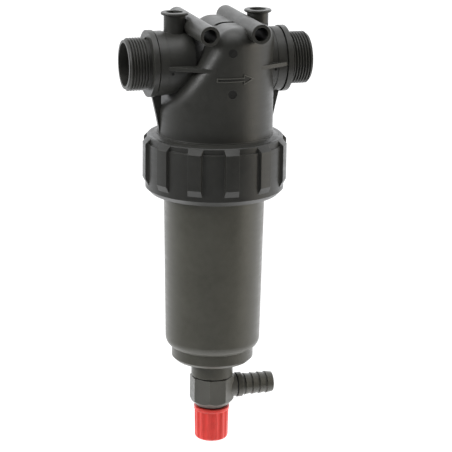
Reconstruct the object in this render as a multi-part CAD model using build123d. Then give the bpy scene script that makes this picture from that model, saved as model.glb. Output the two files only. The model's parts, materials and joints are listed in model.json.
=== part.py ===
from build123d import *
import math
import os

os.makedirs("parts", exist_ok=True)

# Inline pressure filter. Water enters the left port, turns down inside the head into the screen
# cartridge, passes out through the screen and leaves through the right port. Dirt falls to the
# bottom of the bowl and is blown out through the drain valve and its hose barb.
# Millimetres. +X is the flow, +Y points into the bracket behind, +Z is up.
# The shapes are drawn from the crossing of the port axis and the bowl axis. At the end they are
# moved so that the origin is midway between the mounting holes, on the tubes' rear faces.

# Clearances
fit_gap = 0.3            # between pieces that come apart or move past each other
running_gap = 0.05       # on radius, between a turning thread or shaft and its hole
overlap = 1.0            # how far joined forms reach into each other, and cuts reach past a face

# Ports
port_thread_r = 20.955   # G 1-1/4 pipe thread
port_bore_r = 17.2
port_reach = 75.5        # bowl axis to the end of each thread
port_thread_length = 18.5
port_thread_chamfer = 1.6
collar_r = 26.5
collar_width = 4.3
collar_groove_width = 0.9
collar_groove_depth = 1.2
pipe_r = 25.2
pipe_ring_width = 7.0
pipe_ring_height = 0.45

# Head
head_r = 46.4
head_top = 31.5
head_wall = 4.4
head_edge_r = 15.0       # rounding where the roof and the top meet the upright wall
chamber_edge_r = 8.0     # rounding of the same edge inside
roof_slope = 57.4        # degrees from level
roof_foot = -23.5        # where the sloping roof crosses the height of the port axis
roof_crest_r = 17.0      # rounding between the sloping roof and the top
top_slot_width = 5.0
top_slot_depth = 2.6
top_slot_y = -5.5
elbow_wall = 4.0
spigot_length = 84.0     # port axis to the lower end of the inlet elbow
seat_drop = 70.3         # port axis to the face that the cartridge seals against
seat_flange_width = 5.8
seat_flange_height = 4.0
neck_step = 4.8          # how far the threaded neck stands out from the wall
neck_bead_width = 0.8    # bead round the wall, just above the threaded neck
neck_bead_top = 2.1      # height of the bead above the nut's top face
neck_bead_bottom = 1.2
dimple_r = 3.7           # two shallow round marks on the front
dimple_depth = 0.5
dimple_high = 14.0
dimple_low = -18.3
pin_mark_r = 1.2         # small round mark on the front of each pipe, under the rib
pin_mark_depth = 0.9
pin_mark_x = 42.0
pin_mark_drop = 4.0

# Ribs under and beside the ports
rib_thickness = 3.0
rib_pipe_reach = 0.2     # head's wall to the end of the level inlet rib, on the pipe
rib_tip_x = 12.6         # tip of the level inlet rib, on the head
rib_start_x = 25.7       # start of the level outlet rib, on the head
gusset_thickness = 4.0
gusset_lap = 0.7         # how far the gusset runs on under the collar
gusset_waist_share = 0.54  # of the way from the head's wall to the gusset's reach
gusset_waist_z = 37.5

# Gauge ports
gauge_x = 34.4
gauge_thread_r = 6.58    # G 1/4
gauge_thread_depth = 11.0
gauge_pilot_r = 3.0
gauge_neck_r = 8.6
gauge_rim_r = 11.0
gauge_rim_height = 2.2
gauge_top = 40.4

# Mounting tubes
mount_x = 20.6
mount_rise = 29.4        # port axis to the tubes' axes
mount_tube_r = 7.7
mount_hole_r = 5.5       # M10 bolts
mount_front = 53.0
mount_back = 43.0        # bowl axis to the tubes' rear faces

# Ring nut
nut_drop = 59.5          # port axis to the nut's top face
nut_height = 46.9
nut_rim_wall = 3.6       # each wall is measured from the crest of the thread
nut_rim_chamfer = 0.8
nut_ledge_drop = 5.0     # nut's top face to the ledge above each panel
nut_ledge_slope = 0.4
nut_panel_wall = 4.8
nut_lug_wall = 7.4
nut_lug_count = 12
nut_lug_start = -2.5     # degrees from the port axis to the middle of the first lug
nut_lug_width = 10.3
nut_lug_draft = 0.6      # how much wider each side of a lug is at its root
nut_lug_bevel_top = 5.0
nut_lug_bevel_start = 33.8
nut_lug_bevel_end = 43.0
nut_hem_wall = 2.8
nut_hem_round = 2.0
nut_lip_thickness = 7.8
nut_lip_gap = 0.4        # between the lip and the top of the bowl's wall

# Slip ring
slip_ring_thickness = 1.0
slip_ring_inset = 0.3    # edge of the bowl's flange to the edge of the ring below it

# Bowl
bowl_flange_gap = 2.2    # crest of the neck's thread to the flange, which passes the nut's ridges
bowl_flange_thickness = 9.0
bowl_spigot_height = 8.0
bowl_top_r = 41.1
bowl_bottom_r = 38.7
bowl_wall = 4.2
bowl_depth = 142.0       # underside of the flange to the bottom of the tapered wall
bowl_corner_r = 9.0
base_ring_r = 33.6
base_ring_height = 10.5
base_ring_chamfer = 2.6
base_pocket_inner_r = 20.6
base_pocket_outer_r = 30.4
base_pocket_depth = 13.0
base_rib_count = 8
base_rib_width = 2.4
neck_r = 17.3
neck_length = 15.1
floor_rise = 10.0        # bottom of the tapered wall to the face that carries the cartridge
floor_seat_r = 28.0
moat_depth = 5.0
funnel_r = 16.2
funnel_wall = 3.0
funnel_collar_height = 7.0
drain_r = 8.0
drain_thread_r = 12.0
drain_thread_depth = 11.6

# Seal between the head and the bowl
seal_gap = 1.0
seal_inset = 3.6         # from the chamber's wall to the middle of the seal
seal_section_r = 1.6
seal_groove_depth = 2.5
seal_groove_margin = 0.15

# Cartridge
cartridge_r = 29.4
cap_height = 8.0
cap_gap = 0.4            # between a cap's bore and the spigot that it slides over
gasket_thickness = 2.7
gasket_r = 26.8
cage_wall = 2.6
cage_column_count = 8
cage_column_width = 3.2
cage_row_count = 6
cage_ring_height = 3.0
screen_thickness = 0.6
screen_gap = 0.1

# Drain valve body
tee_flats = 34.0         # across the flats of the octagon
tee_height = 25.2
tee_chamfer_height = 6.5
tee_chamfer_r = 13.4
tee_thread_length = 11.1
tee_throat_r = 6.0
tee_seat_depth = 3.5     # washer face of the valve seat to the top of the octagon
tee_chamber_r = 10.5
tee_outlet_drop = 10.6   # top face of the octagon to the axis of the barb
tee_outlet_reach = 20.0
tee_outlet_boss_r = 9.6
tee_washer_thickness = 1.2
tee_washer_r = 16.0

# Hose barb
barb_bore_r = 5.0
barb_shank_r = 7.4
barb_shank_length = 8.5
barb_shoulder_r = 10.3
barb_shoulder_width = 4.0
barb_root_r = 8.3
barb_tooth_r = 9.2
barb_tooth_count = 4
barb_tooth_pitch = 6.2
barb_nose_length = 2.2
barb_washer_thickness = 1.0

# Valve
gland_height = 7.0
gland_rim_r = 11.4
gland_rim_height = 2.0
gland_washer_thickness = 0.8
disc_r = 8.0
disc_thickness = 4.0
disc_hub_r = 4.6
disc_hub_height = 2.0
disc_socket_depth = 3.0
washer_thickness = 2.5
washer_screw_r = 1.5
washer_screw_head_r = 3.0
washer_screw_head_height = 1.5
washer_screw_length = 2.8
stem_r = 5.0
stem_pin_r = 2.5
stem_foot_r = 3.4
stem_seal_section_r = 0.7
stem_seal_depth = 3.4    # top of the gland to the middle of the stem's seal

# Drain knob
knob_r = 14.2
knob_height = 28.1
knob_rim_width = 0.5     # how far the rim stands out
knob_rim_height = 2.4
knob_gap = 1.3           # lower face of the octagon to the knob's rim
knob_wall = 1.8
knob_draft = 0.5
knob_floor = 3.5
knob_hub_r = 6.6
knob_hub_height = 13.0
knob_edge_r = 2.6
knob_flute_count = 14
knob_flute_r = 4.0
knob_flute_depth = 0.55
knob_flute_start = 3.0
knob_screw_r = 1.6
knob_screw_head_r = 3.2
knob_screw_head_height = 2.0
knob_screw_length = 9.0

# Radii about the bowl axis and lengths along the port axis, worked out from the sizes above
spigot_r = port_bore_r + elbow_wall
chamber_r = head_r - head_wall
neck_bead_r = head_r + neck_bead_width
nut_thread_r = head_r + neck_step
nut_rim_r = nut_thread_r + nut_rim_wall
nut_panel_r = nut_thread_r + nut_panel_wall
nut_lug_r = nut_thread_r + nut_lug_wall
nut_hem_r = nut_thread_r + nut_hem_wall
nut_lip_r = bowl_top_r + nut_lip_gap
bowl_flange_r = nut_thread_r - bowl_flange_gap
seal_r = chamber_r + seal_inset
pipe_end = port_reach - port_thread_length
collar_start = pipe_end - collar_width
groove_start = collar_start - collar_groove_width
ring_start = groove_start - pipe_ring_width
gusset_reach = collar_start + gusset_lap

# Heights on the bowl axis
nut_top = -nut_drop
nut_bottom = nut_top - nut_height
lip_top = nut_bottom + nut_lip_thickness
slip_bottom = lip_top + fit_gap
slip_top = slip_bottom + slip_ring_thickness
flange_bottom = slip_top + fit_gap
flange_top = flange_bottom + bowl_flange_thickness
skirt_bottom = flange_top + seal_gap
bead_top = nut_top + neck_bead_top
bowl_rim = flange_top + bowl_spigot_height
wall_bottom = flange_bottom - bowl_depth
base_bottom = wall_bottom - base_ring_height
neck_bottom = base_bottom - neck_length
floor_top = wall_bottom + floor_rise
seat_top = -seat_drop

cartridge_top = seat_top - fit_gap
cartridge_bottom = floor_top + fit_gap
cage_top = cartridge_top - gasket_thickness - cap_height
cage_bottom = cartridge_bottom + gasket_thickness + cap_height
top_cap_bore_r = spigot_r + cap_gap
bottom_cap_bore_r = funnel_r + funnel_wall + cap_gap
screen_r = cartridge_r - cage_wall - screen_gap

tee_top = neck_bottom - tee_washer_thickness
tee_bottom = tee_top - tee_height
valve_seat = tee_top - tee_seat_depth
outlet_z = tee_top - tee_outlet_drop
washer_top = valve_seat - fit_gap
disc_top = washer_top - washer_thickness
disc_bottom = disc_top - disc_thickness
hub_bottom = disc_bottom - disc_hub_height
stem_top = hub_bottom - fit_gap
gland_rim_top = tee_bottom - gland_washer_thickness
gland_top = gland_rim_top + gland_height
gland_bottom = gland_rim_top - gland_rim_height
knob_top = tee_bottom - knob_gap
knob_bottom = knob_top - knob_height
knob_floor_top = knob_bottom + knob_floor
hub_top = knob_floor_top + knob_hub_height
stem_foot = knob_bottom + knob_screw_head_height + fit_gap


def rod(radius, top, bottom):
    """Solid cylinder on the bowl axis."""
    return extrude(Pos(0, 0, bottom) * Circle(radius), amount=top - bottom)


def ring(outer_r, inner_r, top, bottom):
    """Plain ring on the bowl axis."""
    return extrude(Pos(0, 0, bottom) * (Circle(outer_r) - Circle(inner_r)), amount=top - bottom)


def cross_rod(radius, start, end, height=0.0):
    """Solid cylinder along X."""
    profile = Plane(origin=(start, 0, height), z_dir=(1, 0, 0)) * Circle(radius)
    return extrude(profile, amount=end - start)


def turned(*points):
    """Solid turned about the bowl axis from points of radius and height."""
    return revolve(Plane.XZ * make_face(Polyline(*points, close=True)), axis=Axis.Z)


def turned_across(height, *points):
    """Solid turned about a line along X at a height, from points of X and radius."""
    plane = Plane(origin=(0, 0, height), x_dir=(1, 0, 0), z_dir=(0, -1, 0))
    outline = make_face(Polyline(*points, close=True))
    return revolve(plane * outline, axis=Axis((0, 0, height), (1, 0, 0)))


def seal_ring(middle_r, section_r, height):
    """O-ring of round section."""
    return Pos(0, 0, height) * Torus(middle_r, section_r)


def above_roof(inset):
    """Everything above the roof line, which is a slope, a rounded crest and a level top."""
    slope = math.radians(roof_slope)
    top = head_top - inset
    foot = roof_foot + inset / math.sin(slope)
    crest_r = roof_crest_r - inset
    crest_x = foot + top / math.tan(slope)
    tangent = crest_r * math.tan(slope / 2)
    slope_end = (crest_x - tangent * math.cos(slope), top - tangent * math.sin(slope))
    middle = (
        crest_x + tangent - crest_r * math.sin(slope / 2),
        top - crest_r + crest_r * math.cos(slope / 2),
    )
    far = 2 * head_r
    low = (foot - far / math.tan(slope), -far)
    outline = Polyline((far, top), (far, far), (-far, far), (-far, -far), low, slope_end)
    crest = ThreePointArc(slope_end, middle, (crest_x + tangent, top))
    level = Line((crest_x + tangent, top), (far, top))
    face = make_face(Plane.XZ * (outline + crest + level))
    return extrude(face, amount=far, both=True)


def roofed_rod(radius, inset, edge_r, bottom):
    """Solid cylinder on the bowl axis under the roof line, with the edge of its roof rounded."""
    body = rod(radius, head_top + overlap, bottom) - above_roof(inset)
    high_edges = [edge for edge in body.edges() if edge.center().Z > bead_top + head_r / 2]
    rim = [edge for edge in high_edges if edge.geom_type != GeomType.LINE]
    return fillet(rim, edge_r)


def head():
    """Moulded head: ports, elbow, chamber, gauge bosses, mounting tubes and ribs in one piece."""
    block = roofed_rod(head_r, 0, head_edge_r, bead_top - overlap)

    for side in (-1, 1):
        block += cross_rod(pipe_r, side * head_r / 2, side * pipe_end)
        block += cross_rod(pipe_r + pipe_ring_height, side * ring_start, side * groove_start)
        block += cross_rod(collar_r, side * collar_start, side * pipe_end)
        thread = cross_rod(port_thread_r, side * (pipe_end - overlap), side * port_reach)
        tip = thread.edges().sort_by(Axis.X)[-1 if side > 0 else 0]
        block += chamfer(tip, port_thread_chamfer)
        groove = cross_rod(2 * pipe_r, side * groove_start, side * collar_start)
        core = cross_rod(pipe_r - collar_groove_depth, side * (groove_start - overlap), side * pipe_end)
        block -= groove - core
    block += turned(
        (0, bead_top),
        (neck_bead_r, bead_top),
        (neck_bead_r, nut_top + neck_bead_bottom),
        (nut_thread_r, nut_top),
        (nut_thread_r, skirt_bottom),
        (0, skirt_bottom),
    )
    for side in (-1, 1):
        block += side_rib(side) + gauge_boss(side)
    block += gusset() + mirror(gusset(), Plane.YZ)

    block -= roofed_rod(chamber_r, head_wall, chamber_edge_r, skirt_bottom - overlap)
    block += cross_rod(spigot_r, -chamber_r, 0) + Sphere(spigot_r) + rod(spigot_r, 0, -spigot_length)
    block += ring(spigot_r + seat_flange_width, port_bore_r, seat_top + seat_flange_height, seat_top)
    return finish_head(block)


def finish_head(block):
    """Cut the top slot between the mounting tubes and the small marks, then open every bore."""
    slot = Box(2 * mount_x, top_slot_width, 2 * top_slot_depth)
    block -= Pos(0, top_slot_y, head_top) * slot
    for side in (-1, 1):
        block += mount_tube(side, mount_tube_r, mount_front, mount_back)

    for height in (dimple_high, dimple_low):
        block -= front_mark(0, head_r, height, dimple_r, dimple_depth)
    for side in (-1, 1):
        block -= front_mark(side * pin_mark_x, pipe_r, -pin_mark_drop, pin_mark_r, pin_mark_depth)

    block -= cross_rod(port_bore_r, -port_reach - overlap, 0)
    block -= Sphere(port_bore_r)
    block -= rod(port_bore_r, 0, -spigot_length - overlap)
    block -= cross_rod(port_bore_r, chamber_r / 2 + elbow_wall, port_reach + overlap)
    for side in (-1, 1):
        hole = rod(gauge_thread_r, gauge_top + overlap, gauge_top - gauge_thread_depth)
        hole += rod(gauge_pilot_r, gauge_top, port_bore_r / 2)
        block -= Pos(side * gauge_x, 0, 0) * hole
        block -= mount_tube(side, mount_hole_r, mount_front + overlap, mount_back + overlap)
    return block


def gauge_boss(side):
    """Flanged boss for one gauge port, standing on the port's pipe."""
    rim = rod(gauge_rim_r, gauge_top, gauge_top - gauge_rim_height)
    rim = fillet(rim.edges().filter_by(GeomType.CIRCLE), gauge_rim_height / 2 - running_gap)
    return Pos(side * gauge_x, 0, 0) * (rod(gauge_neck_r, gauge_top, port_bore_r) + rim)


def front_mark(x, face, height, radius, depth):
    """Shallow round recess in a front surface that stands a distance before the bowl axis."""
    return Pos(x, -face, height) * Rot(90, 0, 0) * Cylinder(radius, 2 * depth)


def mount_tube(side, radius, front, back):
    """Cylinder along Y for one mounting tube or its hole."""
    profile = Plane(origin=(side * mount_x, -front, mount_rise), z_dir=(0, 1, 0)) * Circle(radius)
    return extrude(profile, amount=front + back)


def side_rib(side):
    """Level webs in front of and behind one port, from the pipe out to the head's wall."""
    if side < 0:
        pipe_x, tip_x = -head_r - rib_pipe_reach, -rib_tip_x
    else:
        pipe_x, tip_x = collar_start, rib_start_x
    tip_y = math.sqrt(head_r ** 2 - tip_x ** 2)
    outline = Polyline(
        (tip_x, -tip_y), (pipe_x, -pipe_r), (pipe_x, pipe_r), (tip_x, tip_y), close=True
    )
    return extrude(make_face(outline), amount=rib_thickness / 2, both=True)


def gusset():
    """Upright web under the outlet pipe, hollowed in a slight curve down to the bead on the wall."""
    foot = (head_r, bead_top)
    reach = (gusset_reach, -pipe_r + overlap)
    waist_x = head_r + gusset_waist_share * (gusset_reach - head_r)
    curve = ThreePointArc(reach, (waist_x, -gusset_waist_z), foot)
    inner_x = head_r - overlap
    back = Polyline(foot, (inner_x, bead_top), (inner_x, -pipe_r + overlap), reach)
    return extrude(make_face(Plane.XZ * (curve + back)), amount=gusset_thickness / 2, both=True)


def ring_nut():
    """Lugged ring nut: threaded bore above, inward lip below."""
    bore_r = nut_thread_r + running_gap
    hem_top = nut_bottom + nut_hem_round
    body = turned(
        (bore_r, nut_top),
        (nut_rim_r - nut_rim_chamfer, nut_top),
        (nut_rim_r, nut_top - nut_rim_chamfer),
        (nut_rim_r, nut_top - nut_ledge_drop),
        (nut_panel_r, nut_top - nut_ledge_drop - nut_ledge_slope),
        (nut_panel_r, hem_top + nut_panel_r - nut_hem_r),
        (nut_hem_r, hem_top),
        (nut_hem_r - nut_hem_round, nut_bottom),
        (nut_lip_r, nut_bottom),
        (nut_lip_r, lip_top),
        (bore_r, lip_top),
    )
    lug_ring = turned(
        (nut_rim_r - nut_rim_chamfer, nut_top),
        (nut_lug_r, nut_top - nut_lug_bevel_top),
        (nut_lug_r, nut_top - nut_lug_bevel_start),
        (nut_hem_r, nut_top - nut_lug_bevel_end),
        (bore_r + overlap, nut_top - nut_lug_bevel_end),
        (bore_r + overlap, nut_top),
    )
    half = nut_lug_width / 2
    root = half + nut_lug_draft * (nut_lug_r - bore_r) / (nut_lug_r - nut_panel_r)
    wedge = make_face(
        Polyline((bore_r, -root), (nut_lug_r + overlap, -half), (nut_lug_r + overlap, half),
                 (bore_r, root), close=True)
    )
    lug = lug_ring & extrude(Pos(0, 0, nut_bottom) * wedge, amount=nut_height)
    for index in range(nut_lug_count):
        body += Rot(0, 0, nut_lug_start + index * 360 / nut_lug_count) * lug
    return body


def bowl():
    """Tapered bowl with its flange, sealing groove, cartridge seat, base ring and drain neck."""
    outside = turned(
        (0, bowl_rim),
        (chamber_r - fit_gap, bowl_rim),
        (chamber_r - fit_gap, flange_top),
        (bowl_flange_r, flange_top),
        (bowl_flange_r, flange_bottom),
        (bowl_top_r, flange_bottom),
        (bowl_bottom_r, wall_bottom),
        (0, wall_bottom),
    )
    corner = outside.edges().filter_by(GeomType.CIRCLE).sort_by(Axis.Z)[0]
    shell = fillet(corner, bowl_corner_r)
    base = rod(base_ring_r, wall_bottom + bowl_wall, base_bottom)
    shell += chamfer(base.edges().filter_by(GeomType.CIRCLE).sort_by(Axis.Z)[0], base_ring_chamfer)

    inner_top_r = chamber_r - fit_gap - bowl_wall
    inner_bottom_r = bowl_bottom_r - bowl_wall
    shell -= turned(
        (0, bowl_rim + overlap),
        (inner_top_r, bowl_rim + overlap),
        (inner_top_r, flange_top),
        (bowl_top_r - bowl_wall, flange_bottom),
        (inner_bottom_r, floor_top),
        (inner_bottom_r - moat_depth / 2, floor_top - moat_depth),
        (floor_seat_r, floor_top - moat_depth),
        (floor_seat_r, floor_top),
        (0, floor_top),
    )
    shell -= ring(
        seal_r + seal_section_r + seal_groove_margin,
        seal_r - seal_section_r - seal_groove_margin,
        flange_top + overlap,
        flange_top - seal_groove_depth,
    )
    pocket = ring(base_pocket_outer_r, base_pocket_inner_r, base_bottom + base_pocket_depth,
                  base_bottom - overlap)
    for index in range(base_rib_count // 2):
        bar = Box(2 * base_pocket_outer_r + overlap, base_rib_width, 4 * base_pocket_depth)
        pocket -= Rot(0, 0, (index + 0.5) * 360 / base_rib_count) * Pos(0, 0, base_bottom) * bar
    shell -= pocket
    shell += rod(neck_r, base_bottom + overlap, neck_bottom)
    shell += rod(funnel_r + funnel_wall, floor_top + funnel_collar_height, floor_top - overlap)
    shell -= turned(
        (0, floor_top + funnel_collar_height + overlap),
        (funnel_r, floor_top + funnel_collar_height + overlap),
        (funnel_r, floor_top),
        (drain_r, base_bottom),
        (drain_r, neck_bottom + drain_thread_depth),
        (drain_thread_r, neck_bottom + drain_thread_depth),
        (drain_thread_r, neck_bottom - overlap),
        (0, neck_bottom - overlap),
    )
    return shell


def cap(bore_r, top):
    """Moulded end ring of the cartridge, its outer corners broken."""
    outside = ring(cartridge_r, bore_r, top, top - cap_height)
    return chamfer(outside.edges().filter_by(GeomType.CIRCLE).group_by(SortBy.RADIUS)[-1], fit_gap)


def cage():
    """Open cage of columns and rings that backs the screen against the pressure."""
    length = cage_top - cage_bottom
    inner_r = cartridge_r - cage_wall
    frame = ring(cartridge_r, inner_r, cage_top, cage_bottom)
    row_pitch = (length - cage_ring_height) / cage_row_count
    window_height = row_pitch - cage_ring_height
    window_width = 2 * math.pi * cartridge_r / cage_column_count - cage_column_width
    for row in range(cage_row_count):
        middle = cage_bottom + cage_ring_height + row * row_pitch + window_height / 2
        window = Pos(0, 0, middle) * Box(3 * cartridge_r, window_width, window_height)
        for index in range(cage_column_count // 2):
            frame -= Rot(0, 0, index * 360 / cage_column_count) * window
    return frame


def drain_tee():
    """Octagonal valve body with its threaded nipple, valve seat, chamber and side outlet."""
    corner_r = tee_flats / 2 / math.cos(math.pi / 8)
    octagon = Rot(0, 0, 180 / 8) * RegularPolygon(corner_r, 8)
    body = extrude(Pos(0, 0, tee_bottom) * octagon, amount=tee_height)
    body &= turned(
        (0, tee_top),
        (corner_r + overlap, tee_top),
        (corner_r + overlap, tee_bottom + tee_chamfer_height),
        (tee_chamfer_r, tee_bottom),
        (0, tee_bottom),
    )
    body += rod(drain_thread_r - running_gap, tee_top + tee_thread_length, tee_top - overlap)
    body += cross_rod(tee_outlet_boss_r, 0, tee_outlet_reach, outlet_z)
    body -= rod(tee_throat_r, tee_top + tee_thread_length + overlap, valve_seat - overlap)
    body -= rod(tee_chamber_r, valve_seat, tee_bottom - overlap)
    body -= cross_rod(barb_shank_r + running_gap, tee_chamber_r / 2, tee_outlet_reach + overlap, outlet_z)
    return body


def hose_barb():
    """Screwed hose tail with a shoulder and sharp ridges that grip the hose."""
    shoulder = tee_outlet_reach + barb_washer_thickness
    first = shoulder + barb_shoulder_width
    points = [
        (shoulder - barb_shank_length, barb_bore_r),
        (shoulder - barb_shank_length, barb_shank_r),
        (shoulder, barb_shank_r),
        (shoulder, barb_shoulder_r),
        (first, barb_shoulder_r),
        (first, barb_root_r),
    ]
    for index in range(barb_tooth_count):
        crest = first + (index + 0.45) * barb_tooth_pitch
        points += [(crest, barb_root_r), (crest, barb_tooth_r)]
        points += [(crest + barb_tooth_pitch * 0.9, barb_root_r)]
    end = first + barb_tooth_count * barb_tooth_pitch + barb_nose_length
    points += [(end, barb_root_r), (end, barb_bore_r)]
    return turned_across(outlet_z, *points)


def gland_nut():
    """Gland that screws into the valve body from below and carries the stem's thread."""
    body = rod(tee_chamber_r - running_gap, gland_top, gland_rim_top - overlap)
    rim = rod(gland_rim_r, gland_rim_top, gland_bottom)
    body += chamfer(rim.edges().filter_by(GeomType.CIRCLE).sort_by(Axis.Z)[0], fit_gap)
    return body - rod(stem_r + running_gap, gland_top + overlap, gland_bottom - overlap)


def valve_disc():
    """Disc that carries the washer, with a socket that turns on the stem's pin."""
    body = rod(disc_r, disc_top, disc_bottom) + rod(disc_hub_r, disc_bottom, hub_bottom)
    body -= rod(stem_pin_r + running_gap, hub_bottom + disc_socket_depth, hub_bottom - overlap)
    return body - rod(washer_screw_r + running_gap, disc_top + overlap, disc_top - washer_screw_length)


def washer_screw():
    """Small screw that holds the washer on its disc."""
    body = rod(washer_screw_head_r, washer_top + washer_screw_head_height, washer_top)
    return body + rod(washer_screw_r, washer_top, disc_top - washer_screw_length + fit_gap)


def valve_stem():
    """Threaded stem: pin at the top for the disc, seal groove, and a foot fixed in the knob."""
    pin_top = hub_bottom + disc_socket_depth - fit_gap
    body = rod(stem_pin_r, pin_top, stem_top) + rod(stem_r, stem_top, hub_top)
    body += rod(stem_foot_r, hub_top, stem_foot)
    seal_z = gland_top - stem_seal_depth
    groove = stem_seal_section_r + running_gap
    floor_r = stem_r - 2 * stem_seal_section_r - running_gap
    body -= ring(stem_r + overlap, floor_r, seal_z + groove, seal_z - groove)
    return body - rod(knob_screw_r + running_gap, stem_foot + knob_screw_length, stem_foot - overlap)


def drain_knob():
    """Deep cup-shaped knob, open at the top, with shallow flutes and a hub for the stem."""
    foot_r = knob_r - knob_draft
    cup = turned((0, knob_top), (knob_r, knob_top), (foot_r, knob_bottom), (0, knob_bottom))
    cup = fillet(cup.edges().filter_by(GeomType.CIRCLE).sort_by(Axis.Z)[0], knob_edge_r)
    cup += rod(knob_r + knob_rim_width, knob_top, knob_top - knob_rim_height)
    flute = rod(knob_flute_r, knob_top - knob_flute_start, knob_bottom - overlap)
    flute_x = foot_r + knob_flute_r - knob_flute_depth
    for index in range(knob_flute_count):
        cup -= Rot(0, 0, index * 360 / knob_flute_count) * Pos(flute_x, 0, 0) * flute
    inner_r = foot_r - knob_wall
    cup -= ring(inner_r, knob_hub_r, knob_top + overlap, knob_floor_top)
    cup -= rod(knob_hub_r + overlap, knob_top + overlap, hub_top)
    cup -= rod(stem_foot_r + running_gap, hub_top + overlap, stem_foot)
    cup -= rod(knob_screw_r + running_gap, stem_foot + overlap, knob_bottom - overlap)
    return cup - rod(knob_screw_head_r + running_gap, stem_foot - fit_gap, knob_bottom - overlap)


def knob_screw():
    """Screw that holds the knob on the stem's foot, sunk in the knob's floor."""
    head_top_z = stem_foot - fit_gap
    body = rod(knob_screw_head_r, head_top_z, head_top_z - knob_screw_head_height)
    return body + rod(knob_screw_r, stem_foot + knob_screw_length - fit_gap, head_top_z)


pieces = {
    "head": head(),
    "ring_nut": ring_nut(),
    "slip_ring": ring(bowl_flange_r - slip_ring_inset, nut_lip_r + fit_gap, slip_top, slip_bottom),
    "bowl": bowl(),
    "bowl_seal": seal_ring(seal_r, seal_section_r, flange_top - seal_groove_depth + seal_section_r),
    "top_gasket": ring(gasket_r, top_cap_bore_r, cartridge_top, cartridge_top - gasket_thickness),
    "top_cap": cap(top_cap_bore_r, cage_top + cap_height),
    "screen_cage": cage(),
    "filter_screen": ring(screen_r, screen_r - screen_thickness, cage_top, cage_bottom),
    "bottom_cap": cap(bottom_cap_bore_r, cage_bottom),
    "bottom_gasket": ring(gasket_r, bottom_cap_bore_r, cartridge_bottom + gasket_thickness,
                          cartridge_bottom),
    "drain_tee": drain_tee(),
    "tee_washer": ring(tee_washer_r, drain_thread_r + fit_gap, neck_bottom, tee_top),
    "hose_barb": hose_barb(),
    "barb_washer": Pos(tee_outlet_reach, 0, outlet_z) * Rot(0, 90, 0) * ring(
        tee_outlet_boss_r, barb_shank_r + fit_gap, barb_washer_thickness, 0),
    "gland_nut": gland_nut(),
    "gland_washer": ring(gland_rim_r, tee_chamber_r + fit_gap, tee_bottom, gland_rim_top),
    "valve_disc": valve_disc(),
    "valve_washer": ring(disc_r, washer_screw_r + running_gap, washer_top, disc_top),
    "washer_screw": washer_screw(),
    "valve_stem": valve_stem(),
    "stem_seal": seal_ring(stem_r - stem_seal_section_r, stem_seal_section_r,
                           gland_top - stem_seal_depth),
    "drain_knob": drain_knob(),
    "knob_screw": knob_screw(),
}

for name, shape in pieces.items():
    export_step(Pos(0, -mount_back, -mount_rise) * shape, f"parts/{name}.step")
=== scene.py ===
"""Looks of the inline pressure filter: threads, marks, finishes, light and camera."""

import json
import math

import bmesh
import bpy
from mathutils import Matrix, Quaternion, Vector


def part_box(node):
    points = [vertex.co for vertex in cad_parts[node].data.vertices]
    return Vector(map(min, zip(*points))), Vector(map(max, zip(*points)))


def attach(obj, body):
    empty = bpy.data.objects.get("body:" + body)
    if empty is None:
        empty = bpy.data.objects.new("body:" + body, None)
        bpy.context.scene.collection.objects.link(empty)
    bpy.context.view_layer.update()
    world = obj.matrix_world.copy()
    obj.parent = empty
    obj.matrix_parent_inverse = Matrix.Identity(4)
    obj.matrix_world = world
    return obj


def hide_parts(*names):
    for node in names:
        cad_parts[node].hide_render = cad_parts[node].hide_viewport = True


bl_info = {
    "name": "Inline pressure filter",
    "version": (1, 0, 0),
    "blender": (4, 5, 0),
    "location": "3D View > Sidebar > Filter",
    "description": "Dresses the filter with threads, marks, finishes, light and a camera",
    "category": "Add Mesh",
}

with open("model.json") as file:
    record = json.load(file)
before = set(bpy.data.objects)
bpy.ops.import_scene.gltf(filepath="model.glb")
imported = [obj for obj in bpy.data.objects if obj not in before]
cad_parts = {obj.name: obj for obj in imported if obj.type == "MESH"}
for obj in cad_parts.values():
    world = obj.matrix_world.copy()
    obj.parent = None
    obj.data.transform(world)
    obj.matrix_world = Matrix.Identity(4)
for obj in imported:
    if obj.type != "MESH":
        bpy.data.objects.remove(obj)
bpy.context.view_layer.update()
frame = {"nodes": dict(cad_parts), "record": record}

MM = 0.001
FULL_TURN = 2 * math.pi

MOUNTS = {mount["name"]: mount for mount in frame["record"]["mounts"]}
INLET = MOUNTS["inlet_thread"]
AXIS_Y = INLET["pos_m"][1]
PORT_Z = INLET["pos_m"][2]
PORT_THREAD_R = INLET["dims"]["r_mm"] * MM
PORT_THREAD_START = -INLET["pos_m"][0] - INLET["dims"]["length_mm"] * MM / 2
PORT_CHAMFER_START = -INLET["pos_m"][0] + INLET["dims"]["length_mm"] * MM / 2
PORT_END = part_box("head")[1].x
GAUGE = MOUNTS["inlet_gauge_port"]
GAUGE_R = GAUGE["dims"]["r_mm"] * MM
GAUGE_LENGTH = GAUGE["dims"]["length_mm"] * MM
GAUGE_TOP = GAUGE["pos_m"][2] + GAUGE_LENGTH / 2

NUT_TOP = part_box("ring_nut")[1].z
KNOB_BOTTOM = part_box("drain_knob")[0].z
SCREEN_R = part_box("filter_screen")[1].x
KNOB_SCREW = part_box("knob_screw")
WASHER_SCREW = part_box("washer_screw")

# Meshes: joining distance, slack when points are picked, greatest angle that is shaded smooth.
WELD = 0.001 * MM
SLACK = 0.1 * MM
SMOOTH_TO = 32.0
HEAD_SMOOTH_TO = 24.0
NORMAL_MEMORY = "cad_normal"
LEAST_LIKENESS = 0.8
HEXAGON_SIDE = math.radians(60)

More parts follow.
